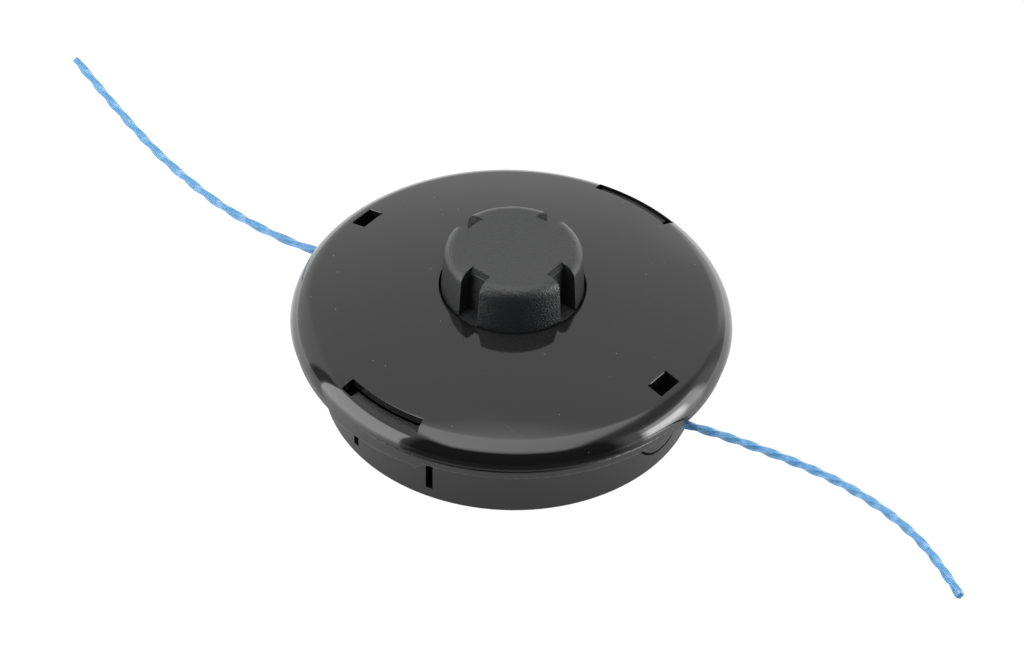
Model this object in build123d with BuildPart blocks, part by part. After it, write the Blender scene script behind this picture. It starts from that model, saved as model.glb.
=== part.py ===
from build123d import *
import math
import os

os.makedirs("parts", exist_ok=True)

# Bump-feed trimmer head, in millimetres. It stands on its mounting face at z = 0, as it lies on a
# bench: the spin axis is Z, the bump knob points up, the line exits and the small windows are on
# +X and -X, and the catch slots and the lowered grips of the lip are on +Y and -Y.

# Cover skin: a shallow dome that rolls over into a rounded rim
head_r = 65.0
dome_rise = 13.94
dome_radius = 241.6
rim_round_r = 8.3
cover_wall = 2.2
cover_edge_gap = 1.0
seat_edge_inset = 1.0

# Cover openings
knob_hole_clear = 0.55
hole_collar_wall = 1.8
slot_width = 4.1
slot_inset = 3.5
slot_half_deg = 13.1
window_inset = 9.2
window_depth = 4.8
window_width = 8.2
window_bevel = 0.4
bevel_above = 0.2
window_collar_wall = 1.2

# Housing cup
base_inset = 9.7
wall_draft = 0.6
wall_thickness = 2.1
floor_thickness = 3.0
base_edge_round = 0.8
slit_deg = 14.4
slit_width = 2.2
slit_bottom_z = 4.0
relief_inner_r = 19.0
relief_margin = 3.2
relief_depth = 1.2
relief_ribs = 8
relief_rib_deg = 4.0

# Housing lip, lowered over the slit wall to make a grip
lip_inset = 1.0
lip_top_z = 24.2
lip_plate = 2.0
lip_skirt_wall = 2.2
lip_skirt_drop = 3.0
grip_drop = 4.6
grip_half_width = 15.6
grip_ramp = 2.0
lip_edge_round = 0.5

# Catch hooks of the housing, seen in the cover's slots
hook_gap = 0.4
hook_post = 2.4
hook_clear = 0.2
hook_below_skin = 1.2
hook_nose_rise = 3.2
hook_back_deg = 10.0
hook_front_deg = 12.4
catch_ledge = 0.9

# Hub, nut and spring seat
spindle_hole_r = 5.3
thread_minor_r = 4.325
nut_flats = 17.0
nut_height = 8.0
nut_clear = 0.1
hub_over_nut = 2.5
hub_wall = 2.0
retainer_thickness = 1.0
retainer_inner_r = 6.0
washer_thickness = 1.0
washer_inner_r = 6.5
washer_clear = 0.3

# Spool
spool_under_gap = 9.0
spool_above_lip = 4.8
flange_side_clear = 1.1
flange_thickness = 1.6
middle_flange = 1.4
wind_core_wall = 6.8
spool_bore_clear = 0.2
spool_bore_wall = 2.7
spool_web = 6.0
anchor_notch_depth = 4.5
anchor_notch_width = 3.0

# Stop teeth of the spool and the lugs that they meet
tooth_count = 12
tooth_deg = 9.0
tooth_height = 3.0
tooth_knob_clear = 0.6
tooth_width = 5.0
lug_count = 6
lug_deg = 5.0
cover_lug_at_deg = 8.0
floor_lug_at_deg = 22.0
cover_lug_overlap = 2.6
floor_lug_overlap = 3.0
tap_travel = 5.0
tap_end_clear = 0.5

# Bump knob
knob_proud = 13.7
knob_base_r = 20.9
knob_draft = 0.8
knob_flat_margin = 0.3
knob_roof = 2.8
knob_cavity_clear = 0.2
knob_flange_reach = 3.5
knob_flange = 2.2
knob_flange_clear = 0.2
notch_count = 4
notch_wall = 2.35
notch_width = 6.8
notch_below_dome = 1.54
notch_top_bevel = 1.6
spigot_inset = 3.9
spigot_wall = 1.8
spigot_length = 4.0
spigot_clear = 0.1
snap_lug = 0.5
snap_height = 1.0
snap_deg = 12.0
snap_count = 3
snap_side_deg = 1.0

# Return spring
spring_wire = 1.6
spring_edge = 0.3
spring_turns = 7.5

# Line windings, exits and free lines
line_d = 2.4
bend_share = 0.45
winding_depth = 15.0
winding_clear = 0.1
exit_below_lip = 7.2
exit_side = 1.8
exit_insert_r = 11.0
exit_slit = 0.8
exit_flange_over = 1.8
exit_flange_wall = 1.4
exit_flange_clear = 0.2
exit_boss_over = 0.1
exit_boss_proud = 0.5
eyelet_tail = 0.3
eyelet_flange = 1.2
eyelet_body_r = 4.2
eyelet_flange_reach = 0.8
eyelet_line_clear = 0.8
eyelet_wall = 0.9
eyelet_clear = 0.1

# Routes of the two free lines in the plane of the exits, as seen from their own exit: x away from
# the spin axis, y to the left of it. Each starts inside its eyelet and ends at the cut end.
route_a = [
    (51.8, 0.8),
    (66.8, 6.1),
    (83.6, 10.0),
    (99.4, 12.9),
    (114.2, 13.9),
    (130.8, 12.1),
    (146.4, 7.2),
    (160.8, -1.3),
]
route_b = [
    (51.8, 0.5),
    (67.0, 8.0),
    (85.6, 10.9),
    (104.0, 11.2),
    (120.9, 8.7),
    (137.0, 5.1),
    (154.2, -0.2),
    (170.9, -5.9),
    (188.3, -12.2),
]

# How far a cutter runs past what it cuts
cut_past = 1.0

# Places that follow from the sizes above: the cover and what it covers
cover_edge_z = lip_top_z + cover_edge_gap
dome_top_z = cover_edge_z + dome_rise
knob_hole_r = knob_base_r + knob_hole_clear
slot_outer_r = head_r - slot_inset
slot_inner_r = slot_outer_r - slot_width
window_centre_r = head_r - window_inset
dome_centre_z = dome_top_z - dome_radius
rim_centre_r = head_r - rim_round_r
rim_centre_z = dome_centre_z + math.sqrt((dome_radius - rim_round_r) ** 2 - rim_centre_r**2)
blend_deg = math.degrees(math.atan2(rim_centre_z - dome_centre_z, rim_centre_r))
above_all_z = dome_top_z + cut_past

# The housing, from the rim of the head inwards
lip_r = head_r - lip_inset
seat_outer_r = lip_r - seat_edge_inset
housing_base_r = head_r - base_inset
wall_top_r = housing_base_r + wall_draft
wall_inner_r = housing_base_r - wall_thickness
relief_outer_r = wall_inner_r - relief_margin
hook_nose_z = cover_edge_z + hook_nose_rise
hub_inner_r = nut_flats / 2 + hub_over_nut
hub_outer_r = hub_inner_r + hub_wall
below_cover_z = lip_top_z - cut_past
plate_bottom_z = lip_top_z - lip_plate
skirt_inner_r = lip_r - lip_skirt_wall

# The hub, the spool and the knob, from the floor upwards
spool_bottom_z = floor_thickness + spool_under_gap
spool_top_z = lip_top_z + spool_above_lip
hub_top_z = spool_top_z - tap_travel - tap_end_clear
floor_lug_top_z = spool_bottom_z - tooth_height - tap_travel + floor_lug_overlap
spool_pocket_top_z = spool_top_z - spool_web
knob_top_z = dome_top_z + knob_proud
knob_top_r = knob_base_r - knob_draft
knob_flange_r = knob_base_r + knob_flange_reach
notch_bottom_z = dome_top_z - notch_below_dome
nut_top_z = floor_thickness + nut_height
washer_bottom_z = nut_top_z + retainer_thickness
spring_bottom_z = washer_bottom_z + washer_thickness
spring_top_z = knob_top_z - knob_roof
knob_flange_top_z = spool_top_z + knob_flange
bore_r = hub_outer_r + spool_bore_clear
wind_core_r = bore_r + wind_core_wall
winding_r = wind_core_r + winding_depth
spigot_inner_r = wind_core_r - spigot_inset
knob_cavity_r = bore_r + knob_cavity_clear
notch_floor_r = knob_cavity_r + notch_wall
knob_flat_r = math.hypot(notch_floor_r, notch_width / 2) + knob_flat_margin
knob_edge_round = knob_top_r - knob_flat_r
washer_outer_r = hub_inner_r - washer_clear
spring_mean_r = washer_outer_r - spring_edge - spring_wire / 2
tooth_inner_r = knob_flange_r + tooth_knob_clear
tooth_outer_r = tooth_inner_r + tooth_width
tooth_pitch = 360.0 / tooth_count
lug_pitch = 360.0 / lug_count
chamber_bottom_z = spool_bottom_z + flange_thickness
chamber_top_z = spool_top_z - flange_thickness
middle_bottom_z = (chamber_bottom_z + chamber_top_z - middle_flange) / 2
middle_top_z = middle_bottom_z + middle_flange

# The line exits, from the wall outwards
exit_z = lip_top_z - exit_below_lip
exit_flange_inner_r = wall_inner_r - exit_flange_clear - exit_flange_wall
exit_flange_half = exit_insert_r + exit_flange_over
flange_r = exit_flange_inner_r - flange_side_clear
exit_boss_x = wall_top_r + exit_boss_proud
eyelet_inner_x = exit_flange_inner_r - eyelet_tail
eyelet_outer_x = exit_boss_x + eyelet_flange
eyelet_throat_x = (eyelet_inner_x + eyelet_outer_x) / 2
eyelet_flange_r = eyelet_body_r + eyelet_flange_reach
eyelet_throat_r = line_d / 2 + eyelet_line_clear
eyelet_mouth_r = eyelet_body_r - eyelet_wall
exit_boss_r = eyelet_flange_r + exit_boss_over
notch_reach = exit_insert_r + exit_slit + exit_side
exit_cut_x = math.sqrt(wall_inner_r**2 - notch_reach**2) - cut_past


def skin_z(r, inset=0.0):
    """Height of the cover's skin at radius r, this far under its outer surface."""
    blend_r = (dome_radius - inset) * math.cos(math.radians(blend_deg))
    if r <= blend_r:
        return dome_centre_z + math.sqrt((dome_radius - inset) ** 2 - r**2)
    return rim_centre_z + math.sqrt((rim_round_r - inset) ** 2 - (r - rim_centre_r) ** 2)


def radial_plane(deg=0.0):
    """Upright plane through the spin axis: its x is the radius, its y the height."""
    a = math.radians(deg)
    away = (math.cos(a), math.sin(a), 0)
    return Plane(origin=(0, 0, 0), x_dir=away, z_dir=(math.sin(a), -math.cos(a), 0))


def exit_plane(turn, out, height=exit_z, side=exit_side):
    """Plane across a line exit: its x is sideways, its y is up, and it faces outwards."""
    a = math.radians(turn)
    away = Vector(math.cos(a), math.sin(a), 0)
    left = Vector(-math.sin(a), math.cos(a), 0)
    return Plane(origin=away * out + left * side + Vector(0, 0, height), x_dir=left, z_dir=away)


def under_skin(inset, bottom_z):
    """Half section of all that lies under the skin, down to bottom_z."""
    rim_r = rim_round_r - inset
    edge_deg = math.degrees(math.asin((bottom_z - rim_centre_z) / rim_r))
    with BuildSketch(radial_plane()) as section:
        with BuildLine():
            dome = CenterArc((0, dome_centre_z), dome_radius - inset, blend_deg, 90 - blend_deg)
            rim = CenterArc((rim_centre_r, rim_centre_z), rim_r, edge_deg, blend_deg - edge_deg)
            Polyline(dome @ 1, (0, bottom_z), rim @ 0)
        make_face()
    return section.sketch


def ring_sector(inner_r, outer_r, centre_deg, half_deg, height):
    """Flat sector of a ring, at a height."""
    with BuildSketch(Plane.XY.offset(height)) as sector:
        with BuildLine():
            outer = CenterArc((0, 0), outer_r, centre_deg - half_deg, 2 * half_deg)
            inner = CenterArc((0, 0), inner_r, centre_deg - half_deg, 2 * half_deg)
            Line(outer @ 0, inner @ 0)
            Line(outer @ 1, inner @ 1)
        make_face()
    return sector.sketch


def ring(inner_r, outer_r, height):
    """Flat ring at a height."""
    with BuildSketch(Plane.XY.offset(height)) as flat:
        Circle(outer_r)
        Circle(inner_r, mode=Mode.SUBTRACT)
    return flat.sketch


def half_section(points):
    """Closed outline of (radius, height) points, for turning about the spin axis."""
    with BuildSketch(radial_plane()) as section:
        with BuildLine():
            Polyline(*points, close=True)
        make_face()
    return section.sketch


def runs_on(edge, radius):
    """True for an edge that stays at this distance from the spin axis."""
    places = [edge @ share for share in (0, 0.5, 1)]
    return all(abs(math.hypot(place.X, place.Y) - radius) < 0.01 for place in places)


def notch_outline(turn, out, radius, top_z):
    """Round-bottomed notch about a line exit, with straight sides up to top_z."""
    with BuildSketch(exit_plane(turn, out)) as outline:
        Circle(radius)
        with Locations((0, (top_z - exit_z) / 2)):
            Rectangle(2 * radius, top_z - exit_z)
    return outline.sketch


# Housing
wall_section = half_section(
    [
        (wall_inner_r, 0),
        (housing_base_r, 0),
        (wall_top_r, plate_bottom_z),
        (wall_top_r, lip_top_z),
        (wall_inner_r, lip_top_z),
    ]
)

with BuildPart() as housing:
    # Skirt of the lip, cut shorter outside the two grips, with a ramp at each end of a grip
    extrude(ring(skirt_inner_r, lip_r, lip_top_z - grip_drop), amount=grip_drop)
    for side in (-1, 1):
        with BuildSketch(Plane.XZ.offset(-lip_r)):
            with BuildLine():
                Polyline(
                    (side * grip_half_width, lip_top_z - grip_drop),
                    (side * (grip_half_width + grip_ramp), lip_top_z - lip_skirt_drop),
                    (side * (lip_r + cut_past), lip_top_z - lip_skirt_drop),
                    (side * (lip_r + cut_past), lip_top_z - grip_drop - cut_past),
                    (side * grip_half_width, lip_top_z - grip_drop - cut_past),
                    close=True,
                )
            make_face()
        extrude(amount=2 * lip_r, mode=Mode.SUBTRACT)
    fillet(housing.edges().filter_by(lambda edge: runs_on(edge, lip_r)), lip_edge_round)

    # Wall with its slight draft, and the floor
    revolve(wall_section, axis=Axis.Z)
    with BuildSketch():
        Circle((housing_base_r + wall_inner_r) / 2)
    extrude(amount=floor_thickness)

    # Slits beside the catches
    for centre in (90, 270):
        for side in (-1, 1):
            slit_plane = radial_plane(centre + side * slit_deg)
            with BuildSketch(slit_plane):
                with Locations((wall_inner_r - cut_past, slit_bottom_z)):
                    Rectangle(
                        wall_top_r - wall_inner_r + 2 * cut_past,
                        lip_top_z - slit_bottom_z + cut_past,
                        align=(Align.MIN, Align.MIN),
                    )
            extrude(amount=slit_width / 2, both=True, mode=Mode.SUBTRACT)

    # Round-bottomed notches for the line exits
    for turn in (0, 180):
        notch = notch_outline(turn, exit_cut_x, exit_insert_r + exit_slit, lip_top_z + cut_past)
        extrude(notch, amount=wall_top_r - exit_cut_x + cut_past, mode=Mode.SUBTRACT)

    # Plate of the lip, open behind the catches so that the wall there can bend
    hook_in = slot_inner_r + hook_gap
    extrude(ring(wall_top_r, lip_r - lip_skirt_wall / 2, plate_bottom_z), amount=lip_plate)
    for centre in (90, 270):
        opening = ring_sector(wall_top_r, hook_in, centre, slit_deg, plate_bottom_z)
        extrude(opening, amount=lip_plate, mode=Mode.SUBTRACT)

    # Catch hooks, with a nose over the cover's ledge and a flat top under the skin
    hook_out = slot_outer_r - hook_clear
    hook_top_z = skin_z(hook_out) - hook_below_skin
    for centre in (90, 270):
        with BuildSketch(radial_plane(centre - hook_back_deg)):
            with BuildLine():
                Polyline(
                    (hook_in, plate_bottom_z),
                    (hook_in, hook_top_z),
                    (hook_out, hook_top_z),
                    (hook_out, hook_nose_z),
                    (hook_in + hook_post, hook_nose_z),
                    (hook_in + hook_post, plate_bottom_z),
                    close=True,
                )
            make_face()
        revolve(axis=Axis.Z, revolution_arc=hook_back_deg + hook_front_deg)

    # Hub tube with the nut's pocket, and the hole for the tool's spindle
    with BuildSketch():
        Circle(hub_outer_r)
    extrude(amount=hub_top_z)
    with BuildSketch(Plane.XY.offset(nut_top_z)):
        Circle(hub_inner_r)
    extrude(amount=hub_top_z - nut_top_z, mode=Mode.SUBTRACT)
    with BuildSketch(Plane.XY.offset(floor_thickness)):
        RegularPolygon(nut_flats / 2 + nut_clear, 6, major_radius=False)
    extrude(amount=nut_height, mode=Mode.SUBTRACT)
    with BuildSketch():
        Circle(spindle_hole_r)
    extrude(amount=floor_thickness, mode=Mode.SUBTRACT)

    # Lugs on the floor that hold the spool while the knob is pressed
    for i in range(lug_count):
        lug = ring_sector(
            tooth_inner_r,
            tooth_outer_r,
            floor_lug_at_deg + i * lug_pitch,
            lug_deg / 2,
            floor_thickness,
        )
        extrude(lug, amount=floor_lug_top_z - floor_thickness)

    # Shallow relief under the floor, left whole at its ribs
    for i in range(relief_ribs):
        pitch = 360.0 / relief_ribs
        relief = ring_sector(relief_inner_r, relief_outer_r, i * pitch, (pitch - relief_rib_deg) / 2, 0)
        extrude(relief, amount=relief_depth, mode=Mode.SUBTRACT)
    fillet(housing.edges().filter_by(lambda edge: runs_on(edge, housing_base_r)), base_edge_round)

housing.part.label = "housing"
export_step(housing.part, "parts/housing.step")


# Cover: the space under the skin, less all that hangs down into it
with BuildPart() as cover_hollow:
    with BuildSketch(radial_plane()):
        add(under_skin(cover_wall, cover_edge_z))
        with Locations((0, below_cover_z)):
            Rectangle(slot_outer_r, cover_edge_z - below_cover_z, align=(Align.MIN, Align.MIN))
            Rectangle(
                slot_outer_r,
                above_all_z - below_cover_z,
                align=(Align.MIN, Align.MIN),
                mode=Mode.INTERSECT,
            )
    revolve(axis=Axis.Z)

    # Ledges under the noses of the catch hooks
    ledge_top_z = hook_nose_z - hook_clear
    for centre in (90, 270):
        ledge_inner_r = slot_outer_r - catch_ledge
        ledge = ring_sector(ledge_inner_r, slot_outer_r, centre, slot_half_deg, below_cover_z)
        extrude(ledge, amount=ledge_top_z - below_cover_z, mode=Mode.SUBTRACT)

    # Collar round the knob hole
    collar_bottom_z = knob_flange_top_z + knob_flange_clear
    collar = ring(knob_hole_r, knob_hole_r + hole_collar_wall, collar_bottom_z)
    extrude(collar, amount=above_all_z - collar_bottom_z, mode=Mode.SUBTRACT)

    # Lugs that drive the spool's upper teeth
    cover_lug_bottom_z = spool_top_z + tooth_height - cover_lug_overlap
    for i in range(lug_count):
        lug = ring_sector(
            tooth_inner_r,
            tooth_outer_r,
            cover_lug_at_deg + i * lug_pitch,
            lug_deg / 2,
            cover_lug_bottom_z,
        )
        extrude(lug, amount=above_all_z - cover_lug_bottom_z, mode=Mode.SUBTRACT)

    # Collars that run down from the windows and hold the line exits in their notches
    for side in (-1, 1):
        with BuildSketch(Plane.XY.offset(lip_top_z)):
            with Locations((side * window_centre_r, 0)):
                Rectangle(window_depth + 2 * window_collar_wall, window_width + 2 * window_collar_wall)
        extrude(amount=above_all_z - lip_top_z, mode=Mode.SUBTRACT)

with BuildPart() as cover:
    revolve(under_skin(0, cover_edge_z), axis=Axis.Z)
    with BuildSketch(Plane.XY.offset(lip_top_z)):
        Circle(seat_outer_r)
    extrude(amount=cover_edge_z - lip_top_z)
    add(cover_hollow.part, mode=Mode.SUBTRACT)

    with BuildSketch(Plane.XY.offset(below_cover_z)):
        Circle(knob_hole_r)
    extrude(amount=above_all_z - below_cover_z, mode=Mode.SUBTRACT)

    for centre in (90, 270):
        slot = ring_sector(slot_inner_r, slot_outer_r, centre, slot_half_deg, ledge_top_z)
        extrude(slot, amount=above_all_z - ledge_top_z, mode=Mode.SUBTRACT)

    for side in (-1, 1):
        with BuildSketch(Plane.XY.offset(below_cover_z)):
            with Locations((side * window_centre_r, 0)):
                Rectangle(window_depth, window_width)
        extrude(amount=above_all_z - below_cover_z, mode=Mode.SUBTRACT)

        # Bevel round the window, square to the sloping skin and begun just above it
        slope = math.asin(window_centre_r / dome_radius)
        rim_plane = Plane(
            origin=(side * window_centre_r, 0, skin_z(window_centre_r)),
            x_dir=(side * math.cos(slope), 0, -math.sin(slope)),
            z_dir=(-side * math.sin(slope), 0, -math.cos(slope)),
        )
        bevel_depth = window_bevel + bevel_above
        with BuildSketch(rim_plane.offset(window_bevel - bevel_depth)):
            Rectangle(window_depth + 2 * bevel_depth, window_width + 2 * bevel_depth)
        extrude(amount=bevel_depth, taper=45, mode=Mode.SUBTRACT)

cover.part.label = "cover"
export_step(cover.part, "parts/cover.step")


# Hexagonal nut for the tool's spindle
with BuildPart() as arbor_nut:
    with BuildSketch(Plane.XY.offset(floor_thickness)):
        RegularPolygon(nut_flats / 2, 6, major_radius=False)
        Circle(thread_minor_r, mode=Mode.SUBTRACT)
    extrude(amount=nut_height)
arbor_nut.part.label = "arbor_nut"
export_step(arbor_nut.part, "parts/arbor_nut.step")

# Ring pressed into the hub above the nut
with BuildPart() as nut_retainer:
    extrude(ring(retainer_inner_r, hub_inner_r, nut_top_z), amount=retainer_thickness)
nut_retainer.part.label = "nut_retainer"
export_step(nut_retainer.part, "parts/nut_retainer.step")

# Steel washer on which the spring turns
with BuildPart() as thrust_washer:
    extrude(ring(washer_inner_r, washer_outer_r, washer_bottom_z), amount=washer_thickness)
thrust_washer.part.label = "thrust_washer"
export_step(thrust_washer.part, "parts/thrust_washer.step")

# Return spring between the washer and the knob's roof
with BuildPart() as return_spring:
    spring_rise = spring_top_z - spring_bottom_z - spring_wire
    with BuildLine() as spring_line:
        Helix(
            spring_rise / spring_turns,
            spring_rise,
            spring_mean_r,
            center=(0, 0, spring_bottom_z + spring_wire / 2),
        )
    with BuildSketch(Plane(origin=spring_line.line @ 0, z_dir=spring_line.line % 0)):
        Circle(spring_wire / 2)
    sweep()
return_spring.part.label = "return_spring"
export_step(return_spring.part, "parts/return_spring.step")


# Spool: two chambers on one core, running on the hub tube
with BuildPart() as spool:
    with BuildSketch(Plane.XY.offset(spool_bottom_z)):
        Circle(wind_core_r)
    extrude(amount=spool_top_z - spool_bottom_z)
    for bottom_z, thickness in (
        (spool_bottom_z, flange_thickness),
        (middle_bottom_z, middle_flange),
        (chamber_top_z, flange_thickness),
    ):
        with BuildSketch(Plane.XY.offset(bottom_z)):
            Circle(flange_r)
        extrude(amount=thickness)
    with BuildSketch(Plane.XY.offset(spool_bottom_z - tooth_height)):
        Circle(bore_r)
    extrude(amount=spool_top_z - spool_bottom_z + tooth_height, mode=Mode.SUBTRACT)

    # Hollow between the bore wall and the core, open below
    pocket = ring(bore_r + spool_bore_wall, wind_core_r - spigot_wall, spool_bottom_z)
    extrude(pocket, amount=spool_pocket_top_z - spool_bottom_z, mode=Mode.SUBTRACT)

    # Groove for the knob's spigot, with pockets for its snap lugs
    groove_bottom_z = spool_top_z - spigot_length - spigot_clear
    groove_outer_r = spigot_inner_r + spigot_wall + spigot_clear
    groove = ring(spigot_inner_r - spigot_clear, groove_outer_r, groove_bottom_z)
    extrude(groove, amount=spigot_length + spigot_clear, mode=Mode.SUBTRACT)
    for i in range(snap_count):
        snap_pocket = ring_sector(
            groove_outer_r - spigot_clear,
            groove_outer_r + snap_lug,
            i * 360.0 / snap_count,
            snap_deg / 2 + snap_side_deg,
            groove_bottom_z,
        )
        extrude(snap_pocket, amount=snap_height + 2 * spigot_clear, mode=Mode.SUBTRACT)

    # Stop teeth on both faces
    for bottom_z in (spool_bottom_z - tooth_height, spool_top_z):
        for i in range(tooth_count):
            tooth = ring_sector(tooth_inner_r, tooth_outer_r, i * tooth_pitch, tooth_deg / 2, bottom_z)
            extrude(tooth, amount=tooth_height)

    # Notches in the middle flange that anchor the fold of the line
    for side in (-1, 1):
        with BuildSketch(Plane.XY.offset(middle_bottom_z)):
            with Locations((0, side * (flange_r + (cut_past - anchor_notch_depth) / 2))):
                Rectangle(anchor_notch_width, anchor_notch_depth + cut_past)
        extrude(amount=middle_flange, mode=Mode.SUBTRACT)
spool.part.label = "spool"
export_step(spool.part, "parts/spool.step")


# Bump knob: a deep cap with four grip notches and a flange that keeps it under the cover
with BuildPart() as bump_knob:
    with BuildSketch(radial_plane()):
        with BuildLine():
            Polyline(
                (knob_cavity_r, spool_top_z),
                (knob_flange_r, spool_top_z),
                (knob_flange_r, knob_flange_top_z),
                (knob_base_r, knob_flange_top_z),
                (knob_base_r, notch_bottom_z),
                (knob_top_r, knob_top_z),
                (0, knob_top_z),
                (0, spring_top_z),
                (knob_cavity_r, spring_top_z),
                close=True,
            )
        make_face()
    revolve(axis=Axis.Z)
    knob_rim = bump_knob.edges().filter_by(lambda edge: runs_on(edge, knob_top_r))
    fillet(knob_rim, knob_edge_round)

    for i in range(notch_count):
        with BuildSketch(radial_plane(i * 360.0 / notch_count)):
            with Locations((notch_floor_r, notch_bottom_z)):
                Rectangle(knob_flange_r, knob_top_z, align=(Align.MIN, Align.MIN))
        extrude(amount=notch_width / 2, both=True, mode=Mode.SUBTRACT)
    notch_floors = bump_knob.edges().group_by(Axis.Z)[-1].filter_by(GeomType.LINE)
    chamfer(notch_floors.group_by(lambda edge: round(edge.length, 2))[-1], notch_top_bevel)

    # Spigot with snap lugs, which locks into the spool
    spigot_outer_r = spigot_inner_r + spigot_wall
    spigot = ring(spigot_inner_r, spigot_outer_r, spool_top_z - spigot_length)
    extrude(spigot, amount=spigot_length)
    for i in range(snap_count):
        snap = ring_sector(
            spigot_outer_r - spigot_wall / 2,
            spigot_outer_r + snap_lug,
            i * 360.0 / snap_count,
            snap_deg / 2,
            spool_top_z - spigot_length,
        )
        extrude(snap, amount=snap_height)
bump_knob.part.label = "bump_knob"
export_step(bump_knob.part, "parts/bump_knob.step")


# Line windings: each fills its chamber from the core outwards, with round turns on the outside
for name, low_z, high_z in (
    ("line_winding_lower", chamber_bottom_z, middle_bottom_z),
    ("line_winding_upper", middle_top_z, chamber_top_z),
):
    with BuildPart() as winding:
        rows = int((high_z - low_z) / line_d)
        row_pitch = (high_z - low_z - 2 * winding_clear) / rows
        with BuildSketch(radial_plane()):
            with BuildLine():
                for i in range(rows):
                    row_low = low_z + winding_clear + i * row_pitch
                    ThreePointArc(
                        (winding_r - line_d / 2, row_low),
                        (winding_r, row_low + row_pitch / 2),
                        (winding_r - line_d / 2, row_low + row_pitch),
                    )
                Polyline(
                    (winding_r - line_d / 2, low_z + winding_clear),
                    (wind_core_r + winding_clear, low_z + winding_clear),
                    (wind_core_r + winding_clear, high_z - winding_clear),
                    (winding_r - line_d / 2, high_z - winding_clear),
                )
            make_face()
        revolve(axis=Axis.Z)
    winding.part.label = name
    export_step(winding.part, f"parts/{name}.step")


# Line exits, eyelets and free lines, one of each at +X and again turned half round
for letter, turn, route in (("a", 0, route_a), ("b", 180, route_b)):
    exit_middle_deg = turn + math.degrees(math.asin(exit_side / wall_inner_r))
    exit_flange_deg = math.degrees(math.asin(exit_flange_half / wall_inner_r))

    with BuildPart() as line_exit:
        # Round-bottomed plate that fills the notch, flush with the wall
        plate_outline = notch_outline(turn, exit_cut_x, exit_insert_r, lip_top_z)
        extrude(plate_outline, amount=wall_top_r - exit_cut_x + cut_past)
        revolve(
            half_section(
                [
                    (exit_flange_inner_r, 0),
                    (housing_base_r, 0),
                    (wall_top_r, plate_bottom_z),
                    (wall_top_r, lip_top_z),
                    (exit_flange_inner_r, lip_top_z),
                ]
            ),
            axis=Axis.Z,
            mode=Mode.INTERSECT,
        )

        # Wider flange behind the wall, standing on the floor
        with BuildSketch(radial_plane(exit_middle_deg - exit_flange_deg)):
            with Locations((exit_flange_inner_r, floor_thickness)):
                Rectangle(
                    wall_inner_r - exit_flange_clear - exit_flange_inner_r,
                    lip_top_z - floor_thickness,
                    align=(Align.MIN, Align.MIN),
                )
        revolve(axis=Axis.Z, revolution_arc=2 * exit_flange_deg)

        # Flat boss under the eyelet's flange, and the eyelet's hole
        with BuildSketch(exit_plane(turn, wall_inner_r)):
            Circle(exit_boss_r)
        extrude(amount=exit_boss_x - wall_inner_r)
        with BuildSketch(exit_plane(turn, eyelet_inner_x - cut_past)):
            Circle(eyelet_body_r + eyelet_clear)
        extrude(amount=eyelet_outer_x - eyelet_inner_x + 2 * cut_past, mode=Mode.SUBTRACT)
    line_exit.part.label = f"line_exit_{letter}"
    export_step(line_exit.part, f"parts/line_exit_{letter}.step")

    with BuildPart() as eyelet:
        # Half section in a plane along the exit: its x is outwards, its y is away from the bore
        across = exit_plane(turn, 0)
        with BuildSketch(Plane(origin=across.origin, x_dir=across.z_dir, z_dir=across.x_dir)):
            with BuildLine():
                throat = ThreePointArc(
                    (eyelet_inner_x, eyelet_mouth_r),
                    (eyelet_throat_x, eyelet_throat_r),
                    (eyelet_outer_x, eyelet_mouth_r),
                )
                Polyline(
                    throat @ 0,
                    (eyelet_inner_x, eyelet_body_r),
                    (exit_boss_x, eyelet_body_r),
                    (exit_boss_x, eyelet_flange_r),
                    (eyelet_outer_x, eyelet_flange_r),
                    throat @ 1,
                )
            make_face()
        revolve(axis=Axis(across.origin, across.z_dir))
    eyelet.part.label = f"eyelet_{letter}"
    export_step(eyelet.part, f"parts/eyelet_{letter}.step")

    # Free line: straight runs joined by arcs as large as the runs allow
    out_of_exit = exit_plane(turn, 0, side=0)
    points = [out_of_exit.origin + out_of_exit.z_dir * x + out_of_exit.x_dir * y for x, y in route]
    radii = []
    for before, corner, after in zip(points, points[1:], points[2:]):
        shorter = min((corner - before).length, (after - corner).length)
        half_turn = (corner - before).get_angle(after - corner) / 2
        radii.append(bend_share * shorter / math.tan(math.radians(half_turn)))
    print(f"free_line_{letter} bend radii:", [round(radius, 1) for radius in radii])

    with BuildPart() as free_line:
        with BuildLine() as line_path:
            FilletPolyline(*points, radius=radii)
        with BuildSketch(Plane(origin=line_path.line @ 0, z_dir=line_path.line % 0)):
            Circle(line_d / 2)
        sweep()
    line_length = line_path.wire().length
    tube_share = free_line.part.volume / (math.pi * line_d**2 / 4 * line_length)
    print(f"free_line_{letter} length: {line_length:.1f}, tube volume share: {tube_share:.4f}")
    free_line.part.label = f"free_line_{letter}"
    export_step(free_line.part, f"parts/free_line_{letter}.step")
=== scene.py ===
import math

import bmesh
import bpy
from mathutils import Matrix, Vector


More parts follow.
